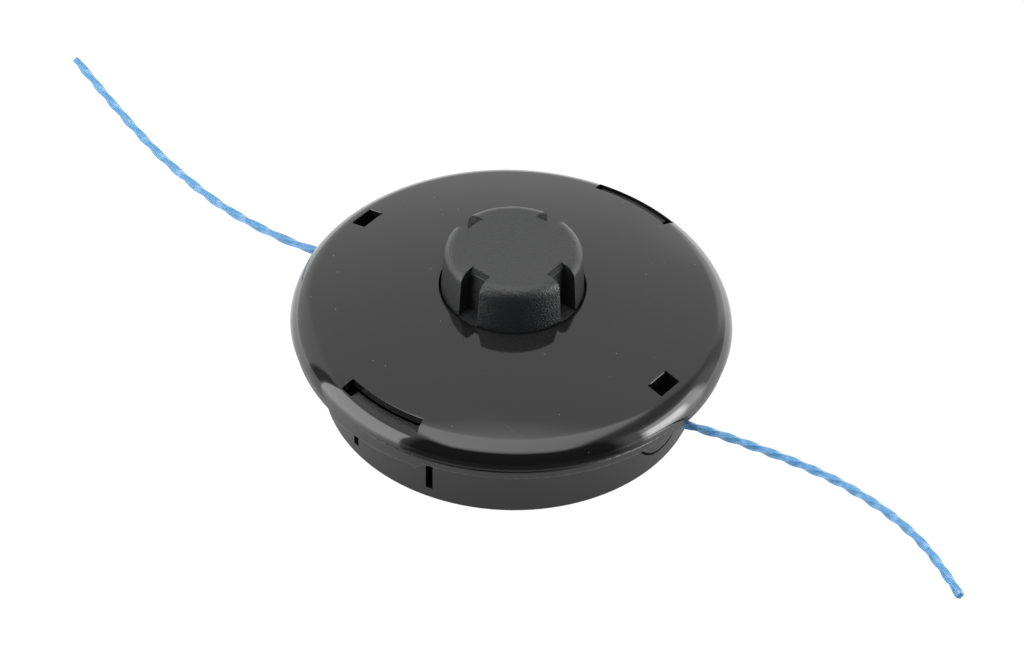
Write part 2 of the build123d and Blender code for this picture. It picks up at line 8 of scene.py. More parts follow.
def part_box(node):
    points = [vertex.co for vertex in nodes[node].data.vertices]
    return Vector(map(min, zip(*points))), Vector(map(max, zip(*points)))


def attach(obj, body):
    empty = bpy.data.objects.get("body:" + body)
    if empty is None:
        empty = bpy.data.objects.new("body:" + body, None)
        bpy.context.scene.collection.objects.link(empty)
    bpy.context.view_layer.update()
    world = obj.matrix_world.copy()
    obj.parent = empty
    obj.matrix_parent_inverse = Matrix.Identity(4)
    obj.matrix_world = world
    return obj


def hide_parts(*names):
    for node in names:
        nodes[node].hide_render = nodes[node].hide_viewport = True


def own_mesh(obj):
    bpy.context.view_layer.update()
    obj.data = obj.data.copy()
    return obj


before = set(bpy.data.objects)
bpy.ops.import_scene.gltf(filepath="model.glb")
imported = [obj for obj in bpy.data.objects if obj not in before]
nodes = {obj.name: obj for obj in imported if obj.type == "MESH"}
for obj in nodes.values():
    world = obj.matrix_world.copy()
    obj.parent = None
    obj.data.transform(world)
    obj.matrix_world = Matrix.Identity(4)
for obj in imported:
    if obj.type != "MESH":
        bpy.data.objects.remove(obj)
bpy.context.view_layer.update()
mm = 0.001


# Camera
# A long lens looks down on the head from its front left. The place and the lens were worked out
# from the outline of the head in the photograph, 1024 by 663 pixels.
photo_width = 1024
photo_height = 663
sensor_width = 36.0
focal_pixels = 3904.8
camera_azimuth = math.radians(37.78)
camera_elevation = math.radians(42.02)
camera_roll = math.radians(-1.96)
camera_distance = 1.1492
aim_point = Vector((0, 0, 20 * mm))
aim_pixel = Vector((511.1, 330.8))

away = Vector((
    math.sin(camera_azimuth) * math.cos(camera_elevation),
    -math.cos(camera_azimuth) * math.cos(camera_elevation),
    math.sin(camera_elevation),
))
to_right = Vector((math.cos(camera_azimuth), math.sin(camera_azimuth), 0))
upwards = away.cross(to_right)
facing = Matrix((to_right, upwards, away))
aim_direction = Vector((
    (aim_pixel.x - photo_width / 2) / focal_pixels,
    (photo_height / 2 - aim_pixel.y) / focal_pixels,
    -1,
)).normalized()
aim_turn = Vector((0, 0, -1)).rotation_difference(aim_direction).to_matrix()
camera_turn = (aim_turn @ Matrix.Rotation(camera_roll, 3, "Z") @ facing).transposed()

camera_data = bpy.data.cameras.new("camera")
camera_data.sensor_width = sensor_width
camera_data.lens = focal_pixels * sensor_width / photo_width
camera = bpy.data.objects.new("camera", camera_data)
bpy.context.scene.collection.objects.link(camera)
camera.matrix_world = Matrix.Translation(aim_point + away * camera_distance) @ camera_turn.to_4x4()
bpy.context.scene.camera = camera


# Housing
# The cup that screws onto the tool, and the two inserts in its wall that hold the eyelets, all
# moulded in black glass-filled nylon with a satin skin. The cup's lip carries the cover, and
# two hooks stand up from it into the cover's slots, with a coarser grain on top.
housing_grain = 0.006 * mm
hook_top_grain = 0.16 * mm
hook_top = 29.0 * mm
hook_top_blend = 0.3 * mm


def new_material(name, colour, roughness):
    """A material with its Principled shader, and both its node tree and that shader."""
    material = bpy.data.materials.new(name)
    material.use_nodes = True
    tree = material.node_tree
    shader = tree.nodes["Principled BSDF"]
    shader.inputs["Base Color"].default_value = (*colour, 1)
    shader.inputs["Roughness"].default_value = roughness
    return material, tree, shader


def joined_nodes(tree, kind, inputs=None, **settings):
    """Adds a node, sets its properties and its inputs, and links those inputs that are sockets."""
    node = tree.nodes.new(kind)
    for name, value in settings.items():
        setattr(node, name, value)
    for name, value in (inputs or {}).items():
        if isinstance(value, bpy.types.NodeSocket):
            tree.links.new(value, node.inputs[name])
        else:
            node.inputs[name].default_value = value
    return node


def value_group(name, inputs, outputs):
    """Empty node group with these named inputs and outputs, and its two end nodes."""
    group = bpy.data.node_groups.new(name, "ShaderNodeTree")
    for label, value in inputs.items():
        kind = "NodeSocketVector" if isinstance(value, tuple) else "NodeSocketFloat"
        socket = group.interface.new_socket(label, in_out="INPUT", socket_type=kind)
        socket.default_value = value
    for label, kind in outputs.items():
        group.interface.new_socket(label, in_out="OUTPUT", socket_type=kind)
    return group, group.nodes.new("NodeGroupInput"), group.nodes.new("NodeGroupOutput")


moulded_grain, given, result = value_group(
    "moulded_grain",
    {"Grains per metre": 2000.0, "Height": 0.01 * mm, "Gloss": 0.4, "Gloss spread": 0.05,
     "Edge radius": 0.3 * mm},
    {"Normal": "NodeSocketVector", "Roughness": "NodeSocketFloat"},
)
place = joined_nodes(moulded_grain, "ShaderNodeTexCoord")
rounded = joined_nodes(moulded_grain, "ShaderNodeBevel", {"Radius": given.outputs["Edge radius"]})
fine = joined_nodes(moulded_grain, "ShaderNodeTexNoise", {
    "Vector": place.outputs["Object"], "Scale": given.outputs["Grains per metre"], "Detail": 3,
})
relief = joined_nodes(moulded_grain, "ShaderNodeBump", {
    "Height": fine.outputs["Fac"], "Distance": given.outputs["Height"],
    "Normal": rounded.outputs["Normal"],
})
cloud = joined_nodes(moulded_grain, "ShaderNodeTexNoise", {
    "Vector": place.outputs["Object"], "Scale": 55, "Detail": 4,
})
centred = joined_nodes(moulded_grain, "ShaderNodeMath", {
    0: cloud.outputs["Fac"], 1: 0.5,
}, operation="SUBTRACT")
spread = joined_nodes(moulded_grain, "ShaderNodeMath", {
    0: centred.outputs["Value"], 1: given.outputs["Gloss spread"], 2: given.outputs["Gloss"],
}, operation="MULTIPLY_ADD")
moulded_grain.links.new(relief.outputs["Normal"], result.inputs["Normal"])
moulded_grain.links.new(spread.outputs["Value"], result.inputs["Roughness"])

dust, given, result = value_group(
    "dust_specks", {"Specks per metre": 260.0, "Share": 0.05}, {"Mask": "NodeSocketFloat"},
)
place = joined_nodes(dust, "ShaderNodeTexCoord")
cells = joined_nodes(dust, "ShaderNodeTexVoronoi", {
    "Vector": place.outputs["Object"], "Scale": given.outputs["Specks per metre"],
})
pick = joined_nodes(dust, "ShaderNodeSeparateColor", {"Color": cells.outputs["Color"]})
chosen = joined_nodes(dust, "ShaderNodeMath", {
    0: pick.outputs["Red"], 1: given.outputs["Share"],
}, operation="LESS_THAN")
near = joined_nodes(dust, "ShaderNodeMapRange", {
    "Value": cells.outputs["Distance"], "From Min": 0.09, "From Max": 0.03,
})
both = joined_nodes(dust, "ShaderNodeMath", {
    0: chosen.outputs["Value"], 1: near.outputs["Result"],
}, operation="MULTIPLY")
dust.links.new(both.outputs["Value"], result.inputs["Mask"])


def grained_nylon(
    name, colour, gloss, gloss_spread, grains, height, specks, share, edge_radius=0.3 * mm
):
    """Moulded black nylon with its grain, uneven gloss, soft edges and a little dust."""
    material, tree, shader = new_material(name, colour, gloss)
    grain = joined_nodes(tree, "ShaderNodeGroup", node_tree=moulded_grain, inputs={
        "Grains per metre": grains, "Height": height, "Gloss": gloss,
        "Gloss spread": gloss_spread, "Edge radius": edge_radius,
    })
    tree.links.new(grain.outputs["Normal"], shader.inputs["Normal"])
    tree.links.new(grain.outputs["Roughness"], shader.inputs["Roughness"])
    speck = joined_nodes(tree, "ShaderNodeGroup", node_tree=dust, inputs={
        "Specks per metre": specks, "Share": share,
    })
    tint = joined_nodes(tree, "ShaderNodeMix", {
        "Factor": speck.outputs["Mask"], "A": (*colour, 1), "B": (0.12, 0.12, 0.11, 1),
    }, data_type="RGBA")
    tree.links.new(tint.outputs["Result"], shader.inputs["Base Color"])
    return material, tree, grain


def dress(names, material):
    """Gives CAD nodes this one material."""
    for name in names:
        nodes[name].data.materials.clear()
        nodes[name].data.materials.append(material)


housing_nylon, tree, grain = grained_nylon(
    "housing_nylon", (0.009, 0.009, 0.0095), gloss=0.34, gloss_spread=0.14,
    grains=1500, height=housing_grain, specks=330, share=0.06,
)
place = joined_nodes(tree, "ShaderNodeTexCoord")
split = joined_nodes(tree, "ShaderNodeSeparateXYZ", {"Vector": place.outputs["Object"]})
hook_grain = joined_nodes(tree, "ShaderNodeMapRange", {
    "Value": split.outputs["Z"], "From Min": hook_top, "From Max": hook_top + hook_top_blend,
    "To Min": housing_grain, "To Max": hook_top_grain,
})
tree.links.new(hook_grain.outputs["Result"], grain.inputs["Height"])
dress(("housing", "line_exit_a", "line_exit_b"), housing_nylon)


# Steel parts
# A zinc-plated hexagonal nut, the ring that holds it and the washer under the spring, and the
# bright plated eyelets through which the line leaves.
def plated_steel(name, colour, low, high):
    """Bare plated steel, its roughness clouded between a low and a high value."""
    material, tree, shader = new_material(name, colour, low)
    shader.inputs["Metallic"].default_value = 1.0
    place = joined_nodes(tree, "ShaderNodeTexCoord")
    bloom = joined_nodes(tree, "ShaderNodeTexNoise", {
        "Vector": place.outputs["Object"], "Scale": 350, "Detail": 4,
    })
    gloss = joined_nodes(tree, "ShaderNodeMapRange", {
        "Value": bloom.outputs["Fac"], "To Min": low, "To Max": high,
    })
    tree.links.new(gloss.outputs["Result"], shader.inputs["Roughness"])
    return material


zinc_plate = plated_steel("zinc_plate", (0.52, 0.52, 0.53), low=0.25, high=0.5)
bright_plate = plated_steel("bright_plate", (0.68, 0.68, 0.70), low=0.12, high=0.3)
dress(("arbor_nut", "nut_retainer", "thrust_washer"), zinc_plate)
dress(("eyelet_a", "eyelet_b"), bright_plate)


# Return spring
# A coil of zinc-plated wire that stands on the washer and pushes the knob and the spool up. It is
# squeezed as the knob is tapped; the coil built here in place of the CAD's is as rigid as that one.
spring_wire = 1.6 * mm
spring_turns = 7.5
spring_steps = 300
wire_sides = 16
low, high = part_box("return_spring")
bpy.ops.object.select_all(action="DESELECT")
bpy.ops.mesh.primitive_circle_add(
    vertices=wire_sides, radius=spring_wire / 2, rotation=(math.pi / 2, 0, 0),
    location=(high.x - spring_wire / 2, 0, low.z + spring_wire / 2),
)
bpy.ops.object.transform_apply(location=True, rotation=True, scale=True)
spring_coil = bpy.context.object
spring_coil.name = "spring_coil"
winding = spring_coil.modifiers.new("winding", "SCREW")
winding.axis = "Z"
winding.angle = 2 * math.pi * spring_turns
winding.screw_offset = high.z - low.z - spring_wire
winding.steps = winding.render_steps = spring_steps
winding.use_smooth_shade = True
bpy.ops.object.modifier_apply(modifier=winding.name)
bpy.ops.object.mode_set(mode="EDIT")
bpy.ops.mesh.select_all(action="SELECT")
bpy.ops.mesh.fill_holes(sides=0)
bpy.ops.mesh.select_all(action="SELECT")
bpy.ops.mesh.normals_make_consistent(inside=False)
bpy.ops.object.mode_set(mode="OBJECT")
spring_coil.data.materials.append(zinc_plate)
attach(spring_coil, "spring_and_washer")
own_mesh(spring_coil)
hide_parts("return_spring")


# Spool
# A black nylon spool with a chamber for each line, moulded in one piece. It turns on the
# housing's hub and is locked to the knob.
spool_nylon, _, _ = grained_nylon(
    "spool_nylon", (0.010, 0.010, 0.0105), gloss=0.42, gloss_spread=0.12,
    grains=1500, height=0.008 * mm, specks=300, share=0.03,
)
dress(("spool",), spool_nylon)


# Windings
# Cutting line wound on the spool by hand, two turns beside each other in each layer, one
# length in each chamber: translucent blue nylon, drawn square and twisted as it cools.
line_width = 2.62 * mm
line_corner_power = 26
line_ring_points = 24
line_twist_pitch = -27.0 * mm
spool_core_r = 20.1 * mm
winding_pitch = 2.15 * mm
winding_layers = 6
turns_in_layer = 2
points_in_turn = 60


def square_radius(angle):
    """Distance to the side of a square with slightly rounded corners, one unit across them."""
    power = line_corner_power
    reach = (abs(math.cos(angle)) ** power + abs(math.sin(angle)) ** power) ** (-1 / power)
    return reach / 2 ** (1.5 - 1 / power)


def twisted_line(name, points, start_turn, pitch):
    """Square line that turns about its own centreline, closed at both cut ends."""
    rings = []
    run = 0.0
    for i, point in enumerate(points):
        ahead = points[min(i + 1, len(points) - 1)] - points[max(i - 1, 0)]
        across = Vector((0, 0, 1)).cross(ahead).normalized()
        raised = ahead.cross(across).normalized()
        run += (point - points[i - 1]).length if i else 0.0
        turn = start_turn + 2 * math.pi * run / pitch
        ring = []
        for j in range(line_ring_points):
            angle = 2 * math.pi * j / line_ring_points
            radius = line_width * square_radius(angle)
            ring.append(
                point
                + across * radius * math.cos(angle + turn)
                + raised * radius * math.sin(angle + turn)
            )
        rings.append(ring)
    vertices = [vertex for ring in rings for vertex in ring]
    count = line_ring_points
    faces = []
    for i in range(len(rings) - 1):
        for j in range(count):
            k = (j + 1) % count
            faces.append((i * count + j, i * count + k, (i + 1) * count + k, (i + 1) * count + j))
    faces.append(tuple(reversed(range(count))))
    last = (len(rings) - 1) * count
    faces.append(tuple(range(last, last + count)))
    mesh = bpy.data.meshes.new(name)
    mesh.from_pydata(vertices, [], faces)
    mesh.update()
    piece = bpy.data.objects.new(name, mesh)
    bpy.context.scene.collection.objects.link(piece)
    return piece


line_nylon, tree, shader = new_material("line_nylon", (0.05, 0.20, 0.42), 0.3)
place = joined_nodes(tree, "ShaderNodeTexCoord")
streaks = joined_nodes(tree, "ShaderNodeTexNoise", {
    "Vector": place.outputs["Object"], "Scale": 900, "Detail": 2, "Roughness": 0.6,
})
tint = joined_nodes(tree, "ShaderNodeValToRGB", {"Fac": streaks.outputs["Fac"]})
tint.color_ramp.elements[0].position = 0.3
tint.color_ramp.elements[0].color = (0.048, 0.18, 0.37, 1)
tint.color_ramp.elements[1].position = 0.7
tint.color_ramp.elements[1].color = (0.085, 0.25, 0.42, 1)
tree.links.new(tint.outputs["Color"], shader.inputs["Base Color"])
shader.inputs["Subsurface Weight"].default_value = 0.5
shader.inputs["Subsurface Radius"].default_value = (0.6, 1.0, 1.4)
shader.inputs["Subsurface Scale"].default_value = 1.5 * mm

for name in ("line_winding_lower", "line_winding_upper"):
    low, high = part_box(name)
    core = spool_core_r + line_width / 2
    bottom = low.z + line_width / 2
    lift = (high.z - low.z - line_width) / turns_in_layer
    total = winding_layers * turns_in_layer * points_in_turn
    coil = []
    for i in range(total + 1):
        layer, step = divmod(i / points_in_turn, turns_in_layer)
        rise = step if layer % 2 == 0 else turns_in_layer - step
        wound = i / total * winding_layers * winding_pitch
        radius = min(core + wound, high.x - line_width / 2)
        angle = 2 * math.pi * i / points_in_turn
        height = bottom + rise * lift
        coil.append(Vector((radius * math.cos(angle), radius * math.sin(angle), height)))
    piece_name = name.replace("line_winding", "wound_line")
    piece = twisted_line(piece_name, coil, start_turn=0.0, pitch=line_twist_pitch)
    piece.data.materials.append(line_nylon)
    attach(piece, "spool_and_knob")
    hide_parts(name)


# Free lines
# The two ends of the cutting line that stick out of the head through the eyelets, of the same
# twisted blue nylon as the windings and cut off clean. Each lies in the plane of its exit.
exit_height = 17.0 * mm
points_in_span = 48
route_a = [
    (51.8, 0.8), (66.8, 6.1), (83.6, 10.0), (99.4, 12.9),
    (114.2, 13.9), (130.8, 12.1), (146.4, 7.2), (160.8, -1.3),
]
route_b = [
    (51.8, 0.5), (67.0, 8.0), (85.6, 10.9), (104.0, 11.2), (120.9, 8.7),
    (137.0, 5.1), (154.2, -0.2), (170.9, -5.9), (188.3, -12.2),
]


def nurbs_line(name, points):
    """Curve object of one open NURBS spline with these control points."""
    curve = bpy.data.curves.new(name, "CURVE")
    curve.dimensions = "3D"
    spline = curve.splines.new("NURBS")
    spline.points.add(len(points) - 1)
    for point, place in zip(spline.points, points):
        point.co = (*place, 1)
    spline.order_u = 3
    spline.use_endpoint_u = True
    spline.resolution_u = points_in_span
    line = bpy.data.objects.new(name, curve)
    bpy.context.scene.collection.objects.link(line)
    return line


def points_along(line):
    """Points of the spline itself, read from its curve with no bevel."""
    bpy.context.view_layer.update()
    seen = line.evaluated_get(bpy.context.evaluated_depsgraph_get())
    mesh = bpy.data.meshes.new_from_object(seen)
    return [vertex.co.copy() for vertex in mesh.vertices]


for letter, side, route, start_turn, pitch in (
    ("a", 1, route_a, 0.86, -26.8 * mm), ("b", -1, route_b, 0.1, -39.0 * mm),
):
    points = [Vector((side * x * mm, side * y * mm, exit_height)) for x, y in route]
    spline_line = nurbs_line(f"line_route_{letter}", points)
    centre_line = points_along(spline_line)
    bpy.data.objects.remove(spline_line)
    steps = zip(centre_line, centre_line[1:])
    length = sum((after - before).length for before, after in steps)
    piece = twisted_line(f"twisted_line_{letter}", centre_line, start_turn, pitch)
    piece.data.materials.append(line_nylon)
    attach(piece, "casing")
    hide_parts(f"free_line_{letter}")


# Cover
# The domed lid that the housing's hooks hold: one moulding of black nylon with a high gloss,
# fine scratches and some dust. Inside it has a ledge under each slot, a collar round each
# window and round the hole, and the lugs that the spool's teeth step past.
dome_radius = 241.6 * mm
dome_centre = -202.46 * mm
rim_round = 8.3 * mm
rim_centre_r = 56.7 * mm
cover_wall = 2.2 * mm
cover_edge = 25.2 * mm
seat_radius = 63.0 * mm
seat_low = 24.2 * mm
slot_outer = 61.5 * mm
slot_inner = 57.4 * mm
slot_half_angle = 13.1
ledge_inner = 60.6 * mm
ledge_top = 28.2 * mm
window_centre = 55.8 * mm
window_depth = 4.8 * mm
window_width = 8.2 * mm
window_wall = 1.2 * mm
window_collar_top = 31.45 * mm
hole_radius = 21.45 * mm
hole_wall = 1.8 * mm
collar_low = 31.4 * mm
lug_count = 6
lug_inner = 25.0 * mm
lug_outer = 30.0 * mm
lug_first_angle = 8
lug_half_angle = 2.5
lug_low = 29.4 * mm
lug_top = 37.0 * mm
window_round = 0.42 * mm
slot_round = 0.35 * mm
hole_round = 0.3 * mm
edge_round = 0.25 * mm
cut_top = 45.0 * mm
cut_bottom = 24.0 * mm
overlap = 0.2 * mm
skin_depth = 0.3 * mm
rim_blend = 2.0 * mm
slot_zone = 40.0 * mm
near_by = 0.1 * mm
merge_distance = 0.002 * mm
sharp_angle = math.radians(38)
smooth_angle = math.radians(32)
cover_steps = 240


def turned_piece(name, start, moves, steps):
    """Solid of revolution round Z, from an outline that starts at one (radius, height).

    A move is ("line", radius, height) or ("arc", centre radius, centre height, degrees, steps).
    """
    bpy.ops.object.select_all(action="DESELECT")
    bpy.ops.mesh.primitive_plane_add(size=mm, location=(start[0], 0, start[1]))
    bpy.ops.object.transform_apply(location=True, rotation=True, scale=True)
    piece = bpy.context.object
    piece.name = name
    bpy.ops.object.mode_set(mode="EDIT")
    bpy.ops.mesh.select_mode(type="VERT")
    bpy.ops.mesh.merge(type="CENTER")
    radius, height = start
    for move in moves:
        if move[0] == "line":
            step = (move[1] - radius, 0, move[2] - height)
            bpy.ops.mesh.extrude_region_move(TRANSFORM_OT_translate={"value": step})
            radius, height = move[1:]
        else:
            centre_r, centre_z, degrees, arc_steps = move[1:]
            turn = math.radians(degrees)
            centre = (centre_r, 0, centre_z)
            bpy.ops.mesh.spin(steps=arc_steps, angle=turn, center=centre, axis=(0, 1, 0))
            out, up = radius - centre_r, height - centre_z
            radius = centre_r + out * math.cos(turn) - up * math.sin(turn)
            height = centre_z + out * math.sin(turn) + up * math.cos(turn)
    bpy.ops.mesh.select_all(action="SELECT")
    bpy.ops.mesh.spin(steps=steps, angle=2 * math.pi, center=(0, 0, 0), axis=(0, 0, 1))
    bpy.ops.mesh.select_all(action="SELECT")
    bpy.ops.mesh.remove_doubles(threshold=merge_distance)
    bpy.ops.mesh.normals_make_consistent(inside=False)
    bpy.ops.object.mode_set(mode="OBJECT")
    return piece


def block(low, high, cuts=0):
    """Closed block between two corners, its faces cut into squares where it will be bent."""
    bpy.ops.object.select_all(action="DESELECT")
    middle = [(a + b) / 2 for a, b in zip(low, high)]
    bpy.ops.mesh.primitive_cube_add(size=1, location=middle)
    bpy.context.object.scale = [b - a for a, b in zip(low, high)]
    bpy.ops.object.transform_apply(location=True, rotation=True, scale=True)
    if cuts:
        bpy.ops.object.mode_set(mode="EDIT")
        bpy.ops.mesh.subdivide(number_cuts=cuts)
        bpy.ops.object.mode_set(mode="OBJECT")
    return bpy.context.object


def ring_block(inner, outer, centre_angle, half_angle, low, high, cuts=23):
    """Block bent round the spin axis, between two radii and over an angle in degrees."""
    piece = block((inner, -half_angle, low), (outer, half_angle, high), cuts)
    for vertex in piece.data.vertices:
        radius, angle = vertex.co.x, math.radians(vertex.co.y + centre_angle)
        vertex.co.x = radius * math.cos(angle)
        vertex.co.y = radius * math.sin(angle)
    return piece


def select_only(*pieces):
    """Selects these pieces and no others, and makes the first one active."""
    bpy.ops.object.select_all(action="DESELECT")
    bpy.context.view_layer.objects.active = pieces[0]
    for piece in pieces:
        piece.select_set(True)


def combine(piece, other, operation):
    """Cuts the other solid away from a piece, or joins it on, and deletes it."""
    select_only(piece)
    change = piece.modifiers.new("combine", "BOOLEAN")
    change.object = other
    change.operation = operation
    change.solver = "EXACT"
    bpy.ops.object.modifier_apply(modifier=change.name)
    bpy.data.objects.remove(other)


def soften(piece, chosen, width, segments):
    """Rounds the sharp edges whose middle passes a test."""
    select_only(piece)
    bpy.ops.object.mode_set(mode="EDIT")
    bpy.ops.mesh.select_mode(type="EDGE")
    bpy.ops.mesh.select_all(action="DESELECT")
    shape = bmesh.from_edit_mesh(piece.data)
    for edge in shape.edges:
        middle = (edge.verts[0].co + edge.verts[1].co) / 2
        between_two = len(edge.link_faces) == 2
        if between_two and edge.calc_face_angle() > sharp_angle and chosen(middle):
            edge.select_set(True)
    bmesh.update_edit_mesh(piece.data)
    bpy.ops.mesh.bevel(offset=width, segments=segments, affect="EDGES", clamp_overlap=True)
    bpy.ops.object.mode_set(mode="OBJECT")


def smooth(piece):
    """Smooth shading that keeps the sharp edges."""
    select_only(piece)
    bpy.ops.object.shade_smooth_by_angle(angle=smooth_angle)


def on_circle(radius, centre_r, centre_z, length):
    """Height on a circle in the outline's plane, at this radius from the spin axis."""
    return centre_z + math.sqrt(length**2 - (radius - centre_r) ** 2)


rim_centre_z = dome_centre + math.sqrt((dome_radius - rim_round) ** 2 - rim_centre_r**2)
blend_angle = math.degrees(math.atan2(rim_centre_z - dome_centre, rim_centre_r))
hole_angle = math.degrees(math.acos(hole_radius / dome_radius))
edge_angle = math.degrees(math.asin((cover_edge - rim_centre_z) / rim_round))
inner_dome = dome_radius - cover_wall
inner_round = rim_round - cover_wall
inner_edge_angle = math.degrees(math.acos((slot_outer - rim_centre_r) / inner_round))
collar_outer = hole_radius + hole_wall
collar_angle = math.degrees(math.acos(collar_outer / inner_dome))
hole_top = on_circle(hole_radius, 0, dome_centre, dome_radius)
rim_edge_r = rim_centre_r + rim_round * math.cos(math.radians(edge_angle))

domed_cover = turned_piece("domed_cover", (hole_radius, collar_low), [
    ("line", hole_radius, hole_top),
    ("arc", 0, dome_centre, blend_angle - hole_angle, 40),
    ("arc", rim_centre_r, rim_centre_z, edge_angle - blend_angle, 28),
    ("line", seat_radius, cover_edge),
    ("line", seat_radius, seat_low),
    ("line", slot_outer, seat_low),
    ("line", slot_outer, on_circle(slot_outer, rim_centre_r, rim_centre_z, inner_round)),
    ("arc", rim_centre_r, rim_centre_z, blend_angle - inner_edge_angle, 10),
    ("arc", 0, dome_centre, collar_angle - blend_angle, 20),
    ("line", collar_outer, collar_low),
    ("line", hole_radius, collar_low),
], cover_steps)
for slot_angle in (90, 270):
    ledge = ring_block(
        ledge_inner, slot_outer + overlap, slot_angle, slot_half_angle, seat_low, ledge_top,
    )
    combine(domed_cover, ledge, "UNION")
    cutter = ring_block(slot_inner, slot_outer, slot_angle, slot_half_angle, ledge_top, cut_top)
    combine(domed_cover, cutter, "DIFFERENCE")
for side in (-1, 1):
    near = side * window_centre - window_depth / 2
    far = side * window_centre + window_depth / 2
    half = window_width / 2
    collar = block(
        (near - window_wall, -half - window_wall, seat_low),
        (far + window_wall, half + window_wall, window_collar_top),
    )
    combine(domed_cover, collar, "UNION")
    cutter = block((near, -half, cut_bottom), (far, half, cut_top))
    combine(domed_cover, cutter, "DIFFERENCE")
for i in range(lug_count):
    lug_angle = lug_first_angle + 360 / lug_count * i
    lug = ring_block(lug_inner, lug_outer, lug_angle, lug_half_angle, lug_low, lug_top, cuts=3)
    combine(domed_cover, lug, "UNION")


def on_skin(place):
    """True at the cover's outer surface."""
    radius = math.hypot(place.x, place.y)
    if radius < rim_centre_r + rim_blend:
        skin = on_circle(radius, 0, dome_centre, dome_radius)
    else:
        skin = on_circle(min(radius, rim_edge_r), rim_centre_r, rim_centre_z, rim_round)
    return place.z > skin - skin_depth


def at_window(place):
    """True at the rim of one of the two windows."""
    return (
        abs(abs(place.x) - window_centre) < window_depth / 2 + near_by
        and abs(place.y) < window_width / 2 + near_by
        and on_skin(place)
    )


def at_slot(place):
    """True at the rim of one of the two catch slots."""
    return abs(place.y) > slot_zone and on_skin(place)


def at_hole(place):
    """True at the rim of the hole for the knob."""
    return math.hypot(place.x, place.y) < hole_radius + near_by and on_skin(place)


def at_edge(place):
    """True at the lower edge of the cover's rounded rim."""
    return math.hypot(place.x, place.y) > rim_edge_r - near_by


soften(domed_cover, at_window, window_round, segments=1)
soften(domed_cover, at_slot, slot_round, segments=3)
soften(domed_cover, at_hole, hole_round, segments=3)
soften(domed_cover, at_edge, edge_round, segments=3)
smooth(domed_cover)

cover_nylon, tree, shader = new_material("cover_nylon", (0.006, 0.006, 0.006), 0.1)
place = joined_nodes(tree, "ShaderNodeTexCoord")
rub = joined_nodes(tree, "ShaderNodeTexNoise", {
    "Vector": place.outputs["Object"], "Scale": 28, "Detail": 5,
})
gloss = joined_nodes(tree, "ShaderNodeMapRange", {
    "Value": rub.outputs["Fac"], "From Min": 0.35, "From Max": 0.75,
    "To Min": 0.03, "To Max": 0.10,
})
tree.links.new(gloss.outputs["Result"], shader.inputs["Roughness"])
stretched = joined_nodes(tree, "ShaderNodeMapping", {
    "Vector": place.outputs["Object"], "Rotation": (0, 0, 0.7), "Scale": (60, 900, 200),
})
scratch = joined_nodes(tree, "ShaderNodeTexNoise", {
    "Vector": stretched.outputs["Vector"], "Scale": 1.0, "Detail": 2,
})
line_edge = joined_nodes(tree, "ShaderNodeMapRange", {
    "Value": scratch.outputs["Fac"], "From Min": 0.68, "From Max": 0.76,
})
sink = joined_nodes(tree, "ShaderNodeTexNoise", {
    "Vector": place.outputs["Object"], "Scale": 24, "Detail": 1,
})
sink_relief = joined_nodes(tree, "ShaderNodeBump", {
    "Height": sink.outputs["Fac"], "Distance": 0.05 * mm,
})
scratch_relief = joined_nodes(tree, "ShaderNodeBump", {
    "Height": line_edge.outputs["Result"], "Distance": 0.004 * mm,
    "Normal": sink_relief.outputs["Normal"],
})
tree.links.new(scratch_relief.outputs["Normal"], shader.inputs["Normal"])
speck = joined_nodes(tree, "ShaderNodeGroup", node_tree=dust, inputs={
    "Specks per metre": 480, "Share": 0.14,
})
tint = joined_nodes(tree, "ShaderNodeMix", {
    "Factor": speck.outputs["Mask"], "A": (0.006, 0.006, 0.006, 1), "B": (0.16, 0.16, 0.14, 1),
}, data_type="RGBA")
tree.links.new(tint.outputs["Result"], shader.inputs["Base Color"])
domed_cover.data.materials.append(cover_nylon)
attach(domed_cover, "casing")
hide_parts("cover")


# Bump knob
# The cap that is tapped on the ground to feed line: black nylon with a spark-eroded grain. Four
# notches give the fingers a hold, each with a finely ribbed bevel at the top of its floor. The
# ring under it snaps into the spool.
knob_top = 52.84 * mm
knob_roof_low = 50.04 * mm
knob_top_r = 20.1 * mm
knob_base_r = 20.9 * mm
knob_flat_r = 16.411 * mm
knob_base = 29.0 * mm
flange_top = 31.2 * mm
flange_r = 24.4 * mm
cavity_r = 13.4 * mm
spigot_inner = 16.1 * mm
spigot_outer = 17.9 * mm
spigot_low = 25.0 * mm
snap_outer = 18.4 * mm
snap_top = 26.0 * mm
notch_floor = 15.75 * mm
notch_half = 3.4 * mm
notch_low = 37.6 * mm
notch_bevel = 1.6 * mm
notch_round = 0.55 * mm
notch_count = 4
notch_cut_out = 30.0 * mm
notch_cut_top = 60.0 * mm
snap_count = 3
snap_half_angle = 6
snap_root = 0.9 * mm
rib_count = 3
rib_half_width = 0.26 * mm
rib_half_length = 3.35 * mm
on_plane = 0.05 * mm
clear_of_corner = 0.3 * mm
knob_steps = 160

